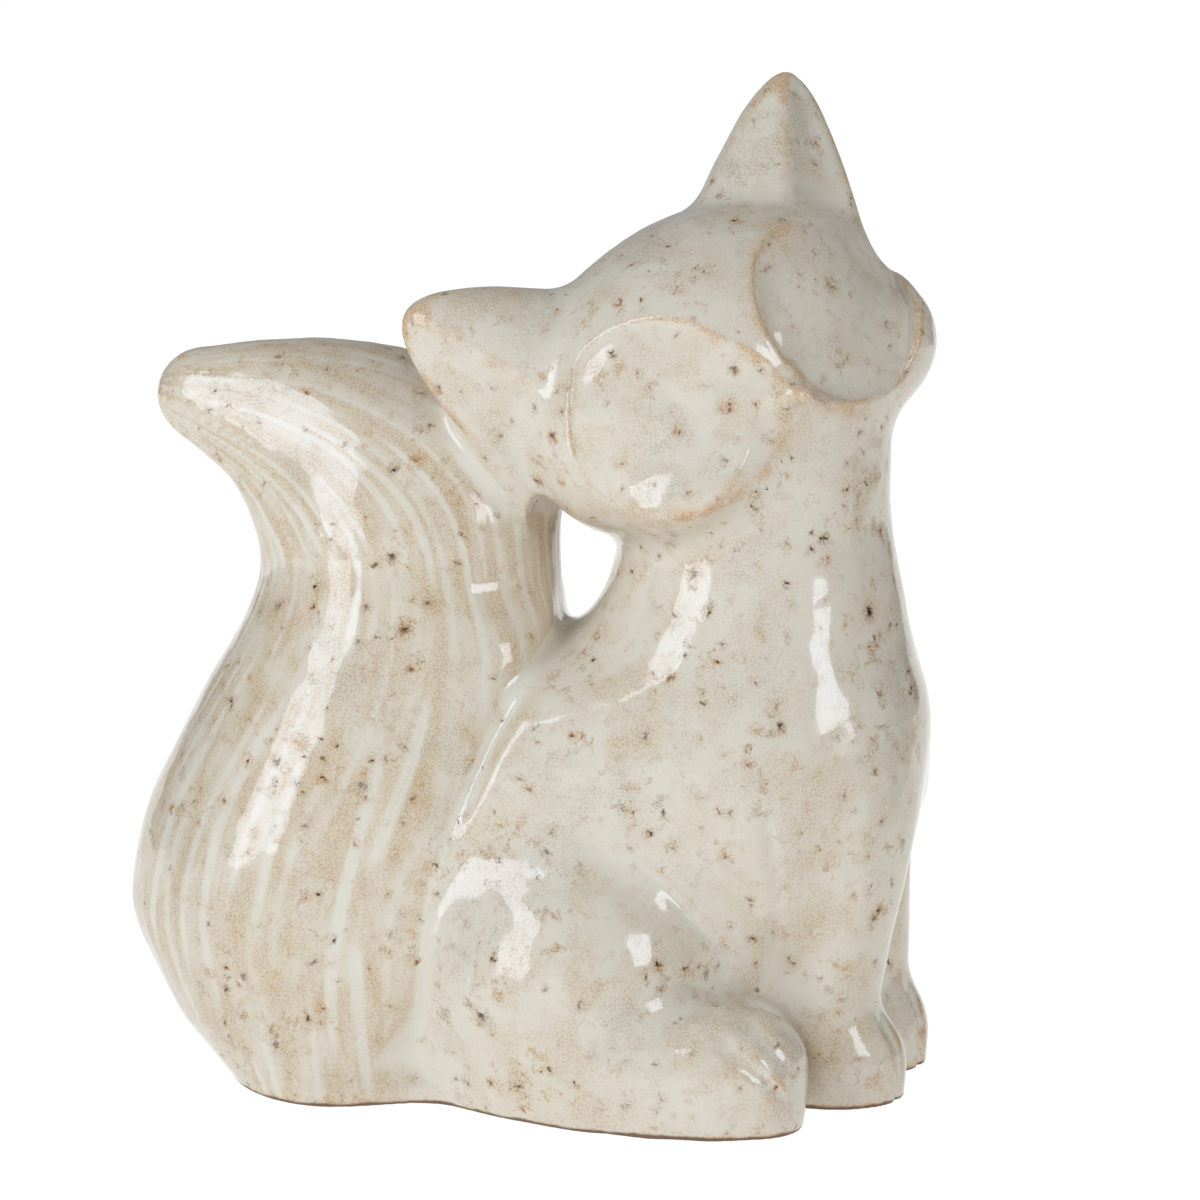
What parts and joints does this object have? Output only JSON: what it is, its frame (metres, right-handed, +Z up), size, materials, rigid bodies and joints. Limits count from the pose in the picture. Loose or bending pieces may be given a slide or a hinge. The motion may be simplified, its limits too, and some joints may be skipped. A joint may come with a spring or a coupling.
{
  "type": "fox figurine",
  "caption": "Seated fox figurine in cream glazed stoneware, cast hollow, with its head turned and tilted to its right and its brush standing behind it, on a flat base with felt pads.",
  "frame": {"origin": "under the middle of the figurine's box, on the surface that it stands on", "axes": "+X to the fox's chest, +Y to its left flank, +Z up"},
  "size_m": [0.1568, 0.0964, 0.1971],
  "materials": {
    "glaze": "glossy cream reactive glaze with fine tan clouds and dark iron specks, breaking to orange-brown on edges and rims",
    "felt": "short matt pile, dark brown"
  },
  "bodies": {
    "root": {"torso": "glaze", "head": "glaze", "right_ear": "glaze", "left_ear": "glaze", "tail": "glaze", "front_right_pad": "felt", "front_left_pad": "felt", "rear_right_pad": "felt", "rear_left_pad": "felt"}
  },
  "joints": []
}
